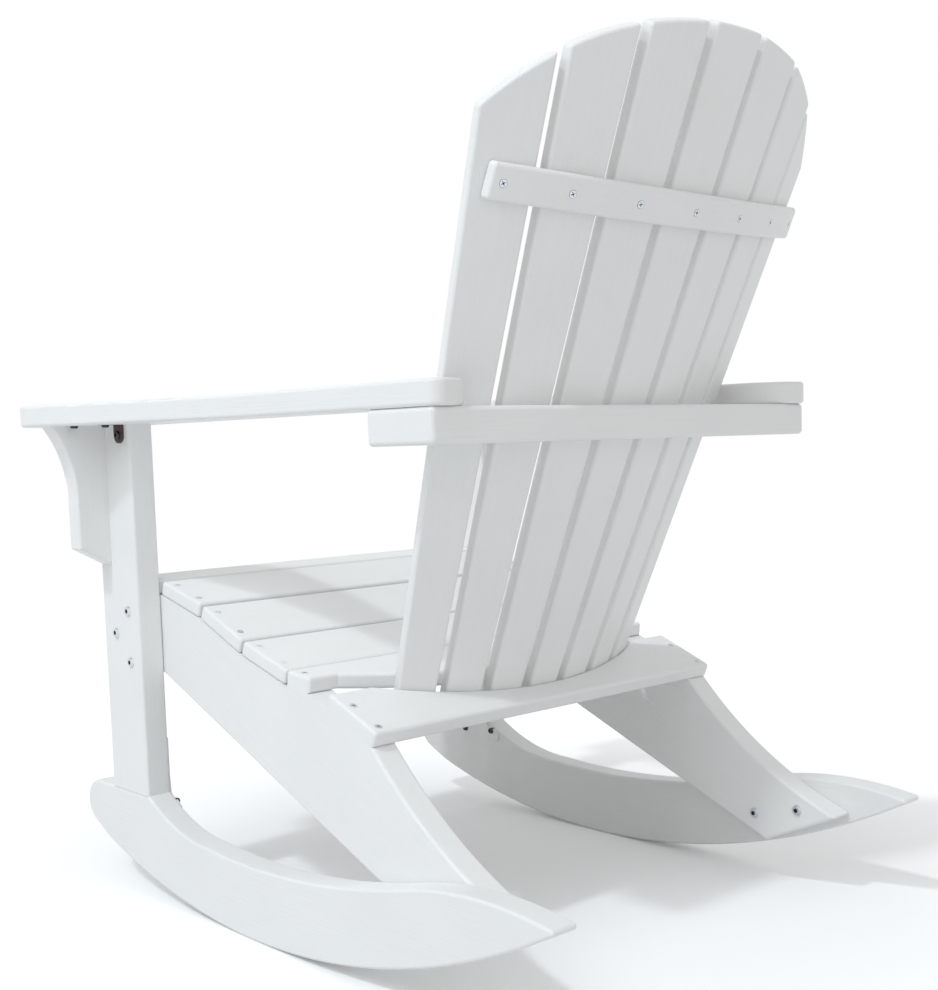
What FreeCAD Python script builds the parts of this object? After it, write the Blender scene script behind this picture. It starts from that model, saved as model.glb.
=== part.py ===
# Rocking adirondack chair of plastic boards, as separate pieces that bolt and screw together.
import FreeCAD, Part
import math
import os

# The chair is drawn in millimetres. X runs across it with 0 in the middle, and the sitter's left is +X.
# Y runs rearward from the front face of the front legs, and Z runs up from the floor.
# At the end every piece moves so that Y 0 is the middle of the footprint.

# Board stock
THIN = 18.2
THICK = 33.0
ARM_THICK = 26.0
ARM_RAIL_THICK = 36.3
ROUNDOVER = 4.0
ARM_RAIL_ROUNDOVER = 5.0
SMALL_ROUNDOVER = 2.0
SNUG = 0.3

# Widths, measured from the middle of the chair
SEAT_HALF = 276.0
LEG_OUTER = SEAT_HALF + THICK
RAIL_INNER = SEAT_HALF - THICK

# Rockers
RUNNER_RADIUS = 984.0
RUNNER_LOW_Y = 307.0
NOSE_RADIUS = 29.0
NOSE_Y = -71.0
TAIL_Y = 784.0
TAIL_TIP_RADIUS = 3.6
TAIL_TIP_Z = 125.2
HEEL_LENGTH = 9.5
ROCKER_ROUNDOVER = 3.4

# Front legs
LEG_DEPTH = 88.0
LEG_FOOT_Z = 128.0
ARM_UNDER_Z = 588.5

# Seat
RAIL_FRONT_Y = 6.0
RAIL_TOP_Z = 377.5
RAIL_FRONT_LOW_Z = 279.0
RAIL_FOOT = (614.5, 55.6)
RAIL_HEEL = (715.0, 100.8)
RAIL_HEEL_ROUNDOVER = 2.0
APRON_LOW_Z = 290.0
APRON_TALL = 87.5
SEAT_SLAT_WIDTH = 88.0
SEAT_FRONT_Y = -3.0
SEAT_CORNERS = [(86.5, 377.5), (173.5, 354.5), (259.5, 318.1), (348.0, 291.7), (393.0, 287.3)]
SEAT_SCREW_X = 265.0
SEAT_SCREW_SPAN = 50.0
NARROW_SLAT_REAR_Y = 392.0
NARROW_SLAT_GAP = 8.0
NARROW_SLAT_SCREW = 21.0

# Rear seat brace, on the last sloping stretch of the rails
BRACE_FRONT_Y = 428.0
BRACE_REAR_Y = 507.0
BRACE_RAIL_END = (500.0, 243.0)
BRACE_HOLLOW_X = 188.0
BRACE_SCREW_X = 263.5
BRACE_SCREW_Y = (455.0, 496.0)

# Back, a fan of tapered boards on a leaning cone
BACK_COUNT = 7
BACK_LOW_Z = 270.0
BACK_HIGH_Z = 1000.0
BACK_REAR_LOW_Y = 478.1
BACK_REAR_HIGH_Y = 793.0
BACK_RADIUS_LOW = 422.4
BACK_RADIUS_HIGH = 524.9
BACK_PITCH_LOW = 57.6
BACK_PITCH_HIGH = 82.5
BACK_WIDTH_LOW = 44.6
BACK_WIDTH_HIGH = 72.5
BACK_FOOT_DROP = 16.5
ARCH_TOP_Z = 945.5
ARCH_CROWN_RADIUS = 590.0
ARCH_CROWN_ANGLE = 12.2
ARCH_SHOULDER_RADIUS = 250.0

# Arm rail and arms
ARM_RAIL_HALF = 298.5
ARM_RAIL_REAR_Y = 635.6
ARM_RAIL_FRONT_Y = 537.5
ARM_OUTER = 300.0
ARM_REAR_Y = 641.5
ARM_FRONT_Y = -45.0

# Upper back brace
UPPER_BRACE_HALF = 243.5
UPPER_BRACE_SHIFT = -6.5
UPPER_BRACE_DEPTH = 14.0
UPPER_BRACE_TALL = 35.5
UPPER_BRACE_Z = 780.3
UPPER_SCREW_Z = 777.5
UPPER_SCREW_ANGLES = [-0.4755, -0.317, -0.1585, 0.0, 0.1585, 0.317, 0.46]

# Metal angle between the leg and the arm
ANGLE_Y = 67.0
ANGLE_HALF = 10.0
ANGLE_THICK = 3.0
ANGLE_SCREW_Z = 576.0
ANGLE_ARM_SCREW_X = 328.0
ARM_FRONT_SCREW = (353.0, 36.0)

# Fasteners
SCREW_RADIUS = 2.2
SCREW_HEAD_RADIUS = 4.3
BOLT_RADIUS = 4.0
BOLT_HEAD_RADIUS = 6.5
BOLT_HEAD_TALL = 3.0
INSERT_RADIUS = 5.5
INSERT_LENGTH = 18.0
LEG_BOLTS = [(64.0, 359.0), (32.0, 329.6), (65.0, 295.0)]
RAIL_BOLTS = [(598.6, 86.6), (660.3, 100.8)]
CLEAT_BOLTS = [(38.0, 113.0), (95.0, 116.0), (38.0, 152.0), (68.0, 182.0)]
CLEAT_THICK = 3.0
SEAT_SCREW_LENGTH = 42.0
LEG_BOLT_LENGTH = 52.0


def vec(x, y, z):
    return FreeCAD.Vector(x, y, z)


def line_to(end):
    return (end,)


def arc_to(through, end):
    return (through, end)


def flat_face(place, start, steps):
    """Face inside a closed outline. place turns a flat point into a point in space."""
    edges = []
    here = start
    for step in steps:
        end = step[-1]
        if len(step) == 1:
            edges.append(Part.makeLine(place(*here), place(*end)))
        else:
            edges.append(Part.Arc(place(*here), place(*step[0]), place(*end)).toShape())
        here = end
    return Part.Face(Part.Wire(edges))


def side_board(x_low, x_high, start, steps):
    """Board cut to an outline in Y and Z, standing between two X planes."""
    face = flat_face(lambda y, z: vec(x_low, y, z), start, steps)
    return face.extrude(vec(x_high - x_low, 0, 0))


def level_board(z_low, z_high, start, steps):
    """Board cut to an outline in X and Y, lying between two heights."""
    face = flat_face(lambda x, y: vec(x, y, z_low), start, steps)
    return face.extrude(vec(0, 0, z_high - z_low))


def rounded(board, radius, edges=None):
    return board.makeFillet(radius, edges or board.Edges)


def flank_edges(board):
    """Edges round the two flat flanks of a side board."""
    return [edge for edge in board.Edges if edge.BoundBox.XLength < 0.01]


def mirrored(shape):
    return shape.mirror(vec(0, 0, 0), vec(1, 0, 0))


def on_circle(centre, radius, degrees):
    angle = math.radians(degrees)
    return (centre[0] + radius * math.cos(angle), centre[1] + radius * math.sin(angle))


def blend(low, high, z):
    """A size that changes evenly with height over the back."""
    return low + (high - low) * (z - BACK_LOW_Z) / (BACK_HIGH_Z - BACK_LOW_Z)


# Rockers and legs

def runner_z(y):
    """Height of the rocker's underside."""
    return RUNNER_RADIUS - math.sqrt(RUNNER_RADIUS ** 2 - (y - RUNNER_LOW_Y) ** 2)


def make_rocker():
    nose = (NOSE_Y + NOSE_RADIUS, LEG_FOOT_Z - NOSE_RADIUS)
    nose_low = on_circle(nose, NOSE_RADIUS, 245)
    chin = (-20.0, runner_z(-20.0))
    heel_y = TAIL_Y - HEEL_LENGTH
    tip = (TAIL_Y - TAIL_TIP_RADIUS, TAIL_TIP_Z)
    scoop_top = (577.0, 119.5)
    outline = [
        arc_to((122.0, 110.0), (221.0, 89.0)),
        arc_to((400.0, 90.0), scoop_top),
        arc_to((690.0, 135.5), on_circle(tip, TAIL_TIP_RADIUS, 75)),
        arc_to(on_circle(tip, TAIL_TIP_RADIUS, 0), on_circle(tip, TAIL_TIP_RADIUS, -62)),
        line_to((heel_y, runner_z(heel_y))),
        arc_to((RUNNER_LOW_Y, 0.0), chin),
        line_to(nose_low),
        arc_to(on_circle(nose, NOSE_RADIUS, 180), (nose[0], LEG_FOOT_Z)),
        line_to((LEG_DEPTH, LEG_FOOT_Z)),
    ]
    board = side_board(SEAT_HALF, LEG_OUTER, (LEG_DEPTH, LEG_FOOT_Z), outline)
    return rounded(board, ROCKER_ROUNDOVER, flank_edges(board))


def make_leg():
    leg = Part.makeBox(THICK, LEG_DEPTH, ARM_UNDER_Z - LEG_FOOT_Z, vec(SEAT_HALF, 0, LEG_FOOT_Z))
    corners = [edge for edge in leg.Edges if edge.BoundBox.ZLength > LEG_DEPTH]
    return rounded(leg, ROUNDOVER, corners)


def make_cleat():
    """Thin plate on the inside of the joint between leg and rocker."""
    outline = [
        line_to((104.0, 101.5)),
        arc_to((106.8, 102.7), (108.0, 105.5)),
        line_to((108.0, 113.0)),
        line_to((100.0, 118.5)),
        line_to((84.0, 125.0)),
        line_to((82.0, 150.0)),
        line_to((82.0, 196.0)),
        line_to((24.0, 196.0)),
        line_to((24.0, 105.5)),
        arc_to((25.2, 102.7), (28.0, 101.5)),
    ]
    return side_board(SEAT_HALF - CLEAT_THICK, SEAT_HALF, (28.0, 101.5), outline)


# Seat

def make_side_rail():
    """Side rail from between the front legs down to the rocker, with a hollow rear edge."""
    outline = [line_to(corner) for corner in SEAT_CORNERS]
    outline += [
        line_to(BRACE_RAIL_END),
        arc_to((590.0, 164.2), RAIL_HEEL),
        line_to(RAIL_FOOT),
        line_to((85.0, RAIL_FRONT_LOW_Z)),
        line_to((RAIL_FRONT_Y, RAIL_FRONT_LOW_Z)),
        line_to((RAIL_FRONT_Y, RAIL_TOP_Z)),
    ]
    board = side_board(RAIL_INNER, SEAT_HALF, (RAIL_FRONT_Y, RAIL_TOP_Z), outline)
    heel_edges = [edge for edge in board.Edges if edge.BoundBox.YMin > RAIL_HEEL[0] - 1]
    board = rounded(board, RAIL_HEEL_ROUNDOVER, heel_edges)
    # The edges that seat boards lie on stay sharp.
    free_edges = [edge for edge in flank_edges(board) if edge.BoundBox.ZMax < RAIL_FRONT_LOW_Z + 1]
    return rounded(board, ROUNDOVER, free_edges)


def make_apron():
    board = Part.makeBox(2 * RAIL_INNER, THIN, APRON_TALL, vec(-RAIL_INNER, RAIL_FRONT_Y, APRON_LOW_Z))
    return rounded(board, SMALL_ROUNDOVER)


def facet_frame(near, far):
    """Placement with its Y axis along a sloping stretch of the rail, from near to far."""
    slope = math.degrees(math.atan2(far[1] - near[1], far[0] - near[0]))
    return FreeCAD.Placement(vec(0, near[0], near[1]), FreeCAD.Rotation(vec(1, 0, 0), slope))


def without_rail_edges(board, under_z):
    """Edges of a seat board, less the two lower ones at its ends, which stay sharp on the rails."""
    def is_low_end(edge):
        box = edge.BoundBox
        at_end = box.XLength < 0.01 and abs(abs(box.XMin) - SEAT_HALF) < 0.01
        return at_end and abs(box.ZMax - under_z) < 0.01
    return [edge for edge in board.Edges if not is_low_end(edge)]


def make_seat_slat(near, far):
    """Slat of the usual width, lying in the middle of its stretch of the rail."""
    spare = math.dist(near, far) - SEAT_SLAT_WIDTH
    slat = Part.makeBox(2 * SEAT_HALF, SEAT_SLAT_WIDTH, THIN, vec(-SEAT_HALF, spare / 2, 0))
    slat = rounded(slat, ROUNDOVER, without_rail_edges(slat, 0))
    slat.Placement = facet_frame(near, far)
    return slat


def back_radius(z):
    return blend(BACK_RADIUS_LOW, BACK_RADIUS_HIGH, z)


def back_axis_y(z):
    """Y of the centre of the back's curve at a height."""
    return blend(BACK_REAR_LOW_Y, BACK_REAR_HIGH_Y, z) - back_radius(z)


def back_rear_y(x, z):
    return back_axis_y(z) + math.sqrt(back_radius(z) ** 2 - x * x)


def make_narrow_slat():
    """Last slat, with a rear edge that follows the front of the back slats."""
    near, far = SEAT_CORNERS[3], SEAT_CORNERS[4]
    top_z = near[1] + THIN
    bulge_radius = back_radius(top_z) - THIN - NARROW_SLAT_GAP
    centre_y = back_axis_y(top_z)
    half = math.sqrt(bulge_radius ** 2 - (NARROW_SLAT_REAR_Y - centre_y) ** 2)
    shift = near[0]
    rear = NARROW_SLAT_REAR_Y - shift
    front = 1.8
    outline = [
        line_to((SEAT_HALF, front)),
        line_to((SEAT_HALF, rear)),
        line_to((half, rear)),
        arc_to((0.0, centre_y + bulge_radius - shift), (-half, rear)),
        line_to((-SEAT_HALF, rear)),
        line_to((-SEAT_HALF, front)),
    ]
    slat = level_board(0, THIN, (-SEAT_HALF, front), outline)
    slat = rounded(slat, ROUNDOVER, without_rail_edges(slat, 0))
    slat.Placement = facet_frame(near, far)
    return slat


BRACE_SLOPE = (BRACE_RAIL_END[1] - SEAT_CORNERS[-1][1]) / (BRACE_RAIL_END[0] - SEAT_CORNERS[-1][0])
BRACE_TILT = math.atan(BRACE_SLOPE)


def brace_top_z(y):
    """Height of the rear seat brace's upper face."""
    on_rail = SEAT_CORNERS[-1][1] + BRACE_SLOPE * (y - SEAT_CORNERS[-1][0])
    return on_rail + THIN / math.cos(BRACE_TILT)


def back_meets_brace(x, drop):
    """Point on the rear of the back, at a depth below the brace's upper face."""
    y = BRACE_FRONT_Y
    for _ in range(20):
        z = brace_top_z(y) - drop
        y = back_rear_y(x, z)
    return vec(x, y, z)


def make_rear_brace():
    """Board behind the feet of the back slats, with a hollow front edge."""
    length = (BRACE_REAR_Y - BRACE_FRONT_Y) / math.cos(BRACE_TILT)

    def along(point_y):
        return (point_y + SNUG - BRACE_FRONT_Y) / math.cos(BRACE_TILT)

    deep = along(back_meets_brace(0, 0).y)
    shallow = along(back_meets_brace(BRACE_HOLLOW_X, 0).y)
    sag = deep - shallow
    radius = (BRACE_HOLLOW_X ** 2 + sag ** 2) / (2 * sag)
    half = math.sqrt(radius ** 2 - (radius - deep) ** 2)
    outline = [
        line_to((-half, 0.0)),
        arc_to((0.0, deep), (half, 0.0)),
        line_to((SEAT_HALF, 0.0)),
        line_to((SEAT_HALF, length)),
        line_to((-SEAT_HALF, length)),
        line_to((-SEAT_HALF, 0.0)),
    ]
    board = level_board(-THIN, 0, (-SEAT_HALF, 0.0), outline)
    board = rounded(board, ROUNDOVER, without_rail_edges(board, -THIN))
    turn = FreeCAD.Rotation(vec(1, 0, 0), math.degrees(BRACE_TILT))
    board.Placement = FreeCAD.Placement(vec(0, BRACE_FRONT_Y, brace_top_z(BRACE_FRONT_Y)), turn)
    return board


# Back

def arch_z(x):
    """Height of the arched top of the back."""
    angle = math.radians(ARCH_CROWN_ANGLE)
    crown_x = ARCH_CROWN_RADIUS * math.sin(angle)
    crown_z = ARCH_TOP_Z - ARCH_CROWN_RADIUS
    if abs(x) < crown_x:
        return crown_z + math.sqrt(ARCH_CROWN_RADIUS ** 2 - x * x)
    reach = ARCH_CROWN_RADIUS - ARCH_SHOULDER_RADIUS
    centre_x = reach * math.sin(angle)
    centre_z = crown_z + reach * math.cos(angle)
    return centre_z + math.sqrt(ARCH_SHOULDER_RADIUS ** 2 - (abs(x) - centre_x) ** 2)


def on_back(step, z):
    """Point on the rear of the back: step counts slats sideways from the middle one."""
    angle = step * blend(BACK_PITCH_LOW, BACK_PITCH_HIGH, z) / back_radius(z)
    radius = back_radius(z)
    return vec(radius * math.sin(angle), back_axis_y(z) + radius * math.cos(angle), z)


class SlatPlane:
    """The flat plane of one back slat's rear face: foot point, up, sideways and outward."""

    def __init__(self, step):
        x = on_back(step, BACK_LOW_Z).x
        low_z = back_meets_brace(x, BACK_FOOT_DROP).z
        middle_z = (BACK_LOW_Z + ARCH_TOP_Z) / 2
        self.foot = on_back(step, low_z)
        self.up = (on_back(step, BACK_HIGH_Z) - self.foot).normalize()
        chord = on_back(step + 0.4, middle_z) - on_back(step - 0.4, middle_z)
        self.side = (chord - self.up * chord.dot(self.up)).normalize()
        self.out = self.side.cross(self.up) * -1

    def point(self, sideways, upward):
        return self.foot + self.side * sideways + self.up * upward

    def at_height(self, z):
        """Point on the slat's middle line."""
        return self.point(0, (z - self.foot.z) / self.up.z)

    def half_width(self, upward):
        return blend(BACK_WIDTH_LOW, BACK_WIDTH_HIGH, self.point(0, upward).z) / 2

    def reach(self, fraction):
        """Place on the arched top, at a fraction of the half width sideways."""
        upward = 600.0
        for _ in range(30):
            sideways = fraction * self.half_width(upward)
            short = arch_z(self.point(sideways, upward).x) - self.point(sideways, upward).z
            upward += short / self.up.z / 1.5
        return (fraction * self.half_width(upward), upward)


def make_back_slat(plane):
    low = plane.half_width(0)
    outline = [
        line_to((low, 0.0)),
        line_to(plane.reach(1)),
        arc_to(plane.reach(0), plane.reach(-1)),
        line_to((-low, 0.0)),
    ]
    face = flat_face(plane.point, (-low, 0.0), outline)
    return rounded(face.extrude(plane.out * -THIN), ROUNDOVER)


def back_cone(offset, low_z, high_z):
    """Solid that fills the back's curve, grown outward by an offset."""
    rings = []
    for z in (low_z, high_z):
        ring = Part.makeCircle(back_radius(z) + offset, vec(0, back_axis_y(z), z))
        rings.append(Part.Wire([ring]))
    return Part.makeLoft(rings, True, True)


AXIS_LEAN = (back_axis_y(BACK_HIGH_Z) - back_axis_y(BACK_LOW_Z)) / (BACK_HIGH_Z - BACK_LOW_Z)
BACK_WIDENING = (BACK_RADIUS_HIGH - BACK_RADIUS_LOW) / (BACK_HIGH_Z - BACK_LOW_Z)


def make_upper_brace():
    """Curved batten across the rear of the back, square to the axis of the back's cone."""
    ring = back_cone(UPPER_BRACE_DEPTH, 650.0, 950.0).cut(back_cone(SNUG, 640.0, 960.0))
    middle_y = back_rear_y(0, UPPER_BRACE_Z) + UPPER_BRACE_DEPTH / 2
    reach = 200.0
    slab = Part.makeBox(2 * UPPER_BRACE_HALF, 2 * reach, UPPER_BRACE_TALL)
    slab.translate(vec(UPPER_BRACE_SHIFT - UPPER_BRACE_HALF, -1.5 * reach, -UPPER_BRACE_TALL / 2))
    slab.rotate(vec(0, 0, 0), vec(1, 0, 0), -math.degrees(math.atan(AXIS_LEAN)))
    slab.translate(vec(0, middle_y, UPPER_BRACE_Z))
    return rounded(ring.common(slab).Solids[0], ROUNDOVER)


# Arms

def make_arm_rail():
    """Cross board that carries the arms, hollowed in front to fit the back slats."""
    low_z = ARM_UNDER_Z - ARM_RAIL_THICK
    size = (2 * ARM_RAIL_HALF, ARM_RAIL_REAR_Y - ARM_RAIL_FRONT_Y, ARM_RAIL_THICK)
    board = Part.makeBox(*size, vec(-ARM_RAIL_HALF, ARM_RAIL_FRONT_Y, low_z))
    board = rounded(board, ARM_RAIL_ROUNDOVER)
    return board.cut(back_cone(SNUG, low_z - 20, ARM_UNDER_Z + 20))


def make_arm():
    """Arm, wide in front, with a shallow bed for the leaf of the metal angle in its underside."""
    inner_front = 238.0
    inner_rear = 228.5
    outer_rear = (ARM_OUTER, 627.5)
    outline = [
        line_to((ARM_OUTER, 320.0)),
        arc_to((306.0, 264.0), (320.0, 222.0)),
        arc_to((356.5, 118.0), (392.0, 24.0)),
        arc_to((391.0, -27.0), (362.0, ARM_FRONT_Y)),
        line_to((258.0, ARM_FRONT_Y)),
        arc_to((244.0, -39.0), (inner_front, -24.0)),
        line_to((inner_rear, 500.0)),
        line_to((inner_rear, 575.0)),
        arc_to((247.0, 623.0), (286.0, ARM_REAR_Y)),
        arc_to((295.9, 637.4), outer_rear),
    ]
    board = level_board(ARM_UNDER_Z, ARM_UNDER_Z + ARM_THICK, outer_rear, outline)
    return rounded(board, ROUNDOVER).cut(make_angle_leaf())


def make_arm_bracket():
    """Shaped block outside the leg, under the arm."""
    face = flat_face(lambda x, z: vec(x, 3.0, z), (LEG_OUTER, ARM_UNDER_Z), [
        line_to((381.0, ARM_UNDER_Z)),
        arc_to((358.5, 545.0), (351.5, 490.0)),
        line_to((351.0, 437.0)),
        line_to((LEG_OUTER, 414.6)),
        line_to((LEG_OUTER, ARM_UNDER_Z)),
    ])
    board = face.extrude(vec(0, ARM_THICK, 0))
    outer = [edge for edge in board.Edges if edge.BoundBox.XMax > LEG_OUTER + 1 and edge.BoundBox.ZMin < 580]
    return rounded(board, ROUNDOVER, outer)


def make_angle_leaf():
    """Level leaf of the metal angle, let into the arm."""
    return level_board(ARM_UNDER_Z, ARM_UNDER_Z + ANGLE_THICK, (LEG_OUTER, ANGLE_Y - ANGLE_HALF), [
        line_to((ANGLE_ARM_SCREW_X, ANGLE_Y - ANGLE_HALF)),
        arc_to((ANGLE_ARM_SCREW_X + ANGLE_HALF, ANGLE_Y), (ANGLE_ARM_SCREW_X, ANGLE_Y + ANGLE_HALF)),
        line_to((LEG_OUTER, ANGLE_Y + ANGLE_HALF)),
        line_to((LEG_OUTER, ANGLE_Y - ANGLE_HALF)),
    ])


def make_angle_bracket():
    upright = flat_face(lambda y, z: vec(LEG_OUTER, y, z), (ANGLE_Y - ANGLE_HALF, ARM_UNDER_Z), [
        line_to((ANGLE_Y - ANGLE_HALF, ANGLE_SCREW_Z)),
        arc_to((ANGLE_Y, ANGLE_SCREW_Z - ANGLE_HALF), (ANGLE_Y + ANGLE_HALF, ANGLE_SCREW_Z)),
        line_to((ANGLE_Y + ANGLE_HALF, ARM_UNDER_Z)),
        line_to((ANGLE_Y - ANGLE_HALF, ARM_UNDER_Z)),
    ]).extrude(vec(ANGLE_THICK, 0, 0))
    return upright.fuse(make_angle_leaf()).removeSplitter()


# Fasteners. Each is a pair: the metal itself, and the hole that it needs.

def aimed(shape, head, inward):
    """Turn a fastener drawn with its head at 0 and its point down Z, and set its head in place."""
    turned = shape.copy()
    turned.Placement = FreeCAD.Placement(head, FreeCAD.Rotation(vec(0, 0, -1), inward))
    return turned


def cross_recess(size):
    bars = []
    for degrees in (0, 90):
        bar = Part.makeBox(2 * size, size / 3, 1.8, vec(-size, -size / 6, -1.8))
        bar.rotate(vec(0, 0, 0), vec(0, 0, 1), degrees)
        bars.append(bar)
    return bars[0].fuse(bars[1])


def hex_socket(across, depth):
    radius = across / math.sqrt(3)
    corners = [vec(*on_circle((0, 0), radius, 60 * turn), 0) for turn in range(7)]
    return Part.Face(Part.makePolygon(corners)).extrude(vec(0, 0, -depth))


def sunk_screw(length, head, inward):
    """Countersunk screw, flush with the board."""
    tip = 5.0
    cone = Part.makeCone(SCREW_RADIUS, SCREW_HEAD_RADIUS, 2.6, vec(0, 0, -2.6))
    shank = Part.makeCylinder(SCREW_RADIUS, length - tip, vec(0, 0, tip - length))
    point = Part.makeCone(0.4, SCREW_RADIUS, tip, vec(0, 0, -length))
    hole = cone.fuse([shank, point]).removeSplitter()
    return (aimed(hole.cut(cross_recess(2.4)), head, inward), aimed(hole, head, inward))


def socket_bolt(length, head_radius, shank_radius, head, inward):
    """Bolt with a low round head that stands on the board, and a hexagon socket."""
    cap = Part.makeCylinder(head_radius, BOLT_HEAD_TALL)
    cap = cap.makeFillet(1.6, [edge for edge in cap.Edges if edge.BoundBox.ZMin > BOLT_HEAD_TALL - 0.1])
    shank = Part.makeCylinder(shank_radius, length, vec(0, 0, -length))
    bolt = cap.fuse(shank).removeSplitter()
    socket = hex_socket(head_radius * 0.8, 2.2)
    socket.translate(vec(0, 0, BOLT_HEAD_TALL))
    return (aimed(bolt.cut(socket), head, inward), aimed(shank, head, inward))


def insert(start, inward):
    """Threaded insert round the end of a bolt."""
    solid = Part.makeCylinder(INSERT_RADIUS, INSERT_LENGTH, vec(0, 0, -INSERT_LENGTH))
    bore = Part.makeCylinder(BOLT_RADIUS, INSERT_LENGTH, vec(0, 0, -INSERT_LENGTH))
    return (aimed(solid.cut(bore), start, inward), aimed(solid, start, inward))


def both_sides(pairs):
    return pairs + [(mirrored(metal), mirrored(hole)) for metal, hole in pairs]


def facet_screws(near, far, distances):
    """Screws through the ends of a seat slat, square to its face."""
    frame = facet_frame(near, far)
    inward = frame.Rotation.multVec(vec(0, 0, -1))
    heads = [frame.multVec(vec(SEAT_SCREW_X, distance, THIN)) for distance in distances]
    return both_sides([sunk_screw(SEAT_SCREW_LENGTH, head, inward) for head in heads])


def make_seat_screws():
    stretches = list(zip([(SEAT_FRONT_Y, RAIL_TOP_Z)] + SEAT_CORNERS, SEAT_CORNERS))
    screws = []
    for near, far in stretches[:-1]:
        middle = math.dist(near, far) / 2
        screws += facet_screws(near, far, [middle - SEAT_SCREW_SPAN / 2, middle + SEAT_SCREW_SPAN / 2])
    return screws + facet_screws(*stretches[-1], [NARROW_SLAT_SCREW])


def make_rear_brace_screws():
    inward = vec(0, math.sin(BRACE_TILT), -math.cos(BRACE_TILT))
    heads = [vec(BRACE_SCREW_X, y, brace_top_z(y)) for y in BRACE_SCREW_Y]
    return both_sides([sunk_screw(SEAT_SCREW_LENGTH, head, inward) for head in heads])


def make_upper_brace_screws():
    """Screws square to the rear of the upper brace, one for each back slat, in a row along it."""
    middle_y = back_rear_y(0, UPPER_SCREW_Z) + UPPER_BRACE_DEPTH
    screws = []
    for angle in UPPER_SCREW_ANGLES:
        z = UPPER_SCREW_Z
        for _ in range(20):
            radius = back_radius(z) + UPPER_BRACE_DEPTH
            y = back_axis_y(z) + radius * math.cos(angle)
            z = UPPER_SCREW_Z - AXIS_LEAN * (y - middle_y)
        outward = vec(math.sin(angle), math.cos(angle), -AXIS_LEAN * math.cos(angle) - BACK_WIDENING)
        head = vec(radius * math.sin(angle), y, z)
        screws.append(sunk_screw(33.0, head, outward.normalize() * -1))
    return screws


def make_back_screws(planes):
    """Screws from the front of each back slat into the rear seat brace and the arm rail."""
    screws = []
    for plane in planes:
        low = plane.point(0, 8.0) - plane.out * THIN
        high = plane.at_height(ARM_UNDER_Z - ARM_RAIL_THICK / 2) - plane.out * THIN
        screws += [sunk_screw(40.0, low, plane.out), sunk_screw(34.0, high, plane.out)]
    return screws


def make_apron_screws():
    heads = [vec(SEAT_HALF, RAIL_FRONT_Y + THIN / 2, z) for z in (310.0, 350.0)]
    return both_sides([sunk_screw(62.0, head, vec(-1, 0, 0)) for head in heads])


def side_bolts(places, x, inward, length, head_radius=BOLT_HEAD_RADIUS, shank_radius=BOLT_RADIUS):
    pairs = [socket_bolt(length, head_radius, shank_radius, vec(x, y, z), inward) for y, z in places]
    return both_sides(pairs)


def side_inserts(places, x, inward):
    return both_sides([insert(vec(x, y, z), inward) for y, z in places])


def make_angle_screws():
    in_leg = socket_bolt(25.0, 5.5, SCREW_RADIUS, vec(LEG_OUTER + ANGLE_THICK, ANGLE_Y, ANGLE_SCREW_Z),
                         vec(-1, 0, 0))
    in_arm = [
        socket_bolt(18.0, 4.5, SCREW_RADIUS, vec(x, y, ARM_UNDER_Z), vec(0, 0, 1))
        for x, y in [(ANGLE_ARM_SCREW_X, ANGLE_Y), ARM_FRONT_SCREW]
    ]
    return both_sides([in_leg] + in_arm)


def make_arm_screws():
    """Screws up through the arm rail into the arm, with their heads down in round wells."""
    depth = 8.0
    screws = []
    for y in (560.0, 610.0):
        mouth = vec(262.0, y, ARM_UNDER_Z - ARM_RAIL_THICK)
        metal, hole = sunk_screw(44.0, mouth + vec(0, 0, depth), vec(0, 0, 1))
        well = Part.makeCylinder(SCREW_HEAD_RADIUS + 0.7, depth, mouth)
        screws.append((metal, hole.fuse(well)))
    return both_sides(screws)


def make_bracket_screws():
    """Screws from inside the leg into the arm bracket."""
    heads = [vec(SEAT_HALF, 16.0, z) for z in (470.0, 550.0)]
    return both_sides([sunk_screw(58.0, head, vec(1, 0, 0)) for head in heads])


# Assembly

def drilled(board, pairs):
    """The board with the holes of the fasteners that pass through it."""
    box = board.BoundBox
    near = [hole for metal, hole in pairs if box.intersect(hole.BoundBox)]
    holes = [hole for hole in near if hole.common(board).Volume > 1]
    return board.cut(holes) if holes else board


planes = [SlatPlane(step - BACK_COUNT // 2) for step in range(BACK_COUNT)]

sides = {
    "rocker": make_rocker(),
    "front_leg": make_leg(),
    "leg_cleat": make_cleat(),
    "seat_rail": make_side_rail(),
    "arm": make_arm(),
    "arm_bracket": make_arm_bracket(),
    "angle_bracket": make_angle_bracket(),
}

boards = {name + "_left": shape for name, shape in sides.items()}
boards.update({name + "_right": mirrored(shape) for name, shape in sides.items()})
boards["front_apron"] = make_apron()
boards["seat_slat_1"] = make_seat_slat(
    (SEAT_FRONT_Y, RAIL_TOP_Z), (SEAT_FRONT_Y + SEAT_SLAT_WIDTH, RAIL_TOP_Z)
)
for number in (2, 3, 4):
    boards[f"seat_slat_{number}"] = make_seat_slat(*SEAT_CORNERS[number - 2:number])
boards["seat_slat_5"] = make_narrow_slat()
boards["rear_seat_brace"] = make_rear_brace()
for number, plane in enumerate(planes, 1):
    boards[f"back_slat_{number}"] = make_back_slat(plane)
boards["upper_back_brace"] = make_upper_brace()
boards["arm_rail"] = make_arm_rail()

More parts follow.
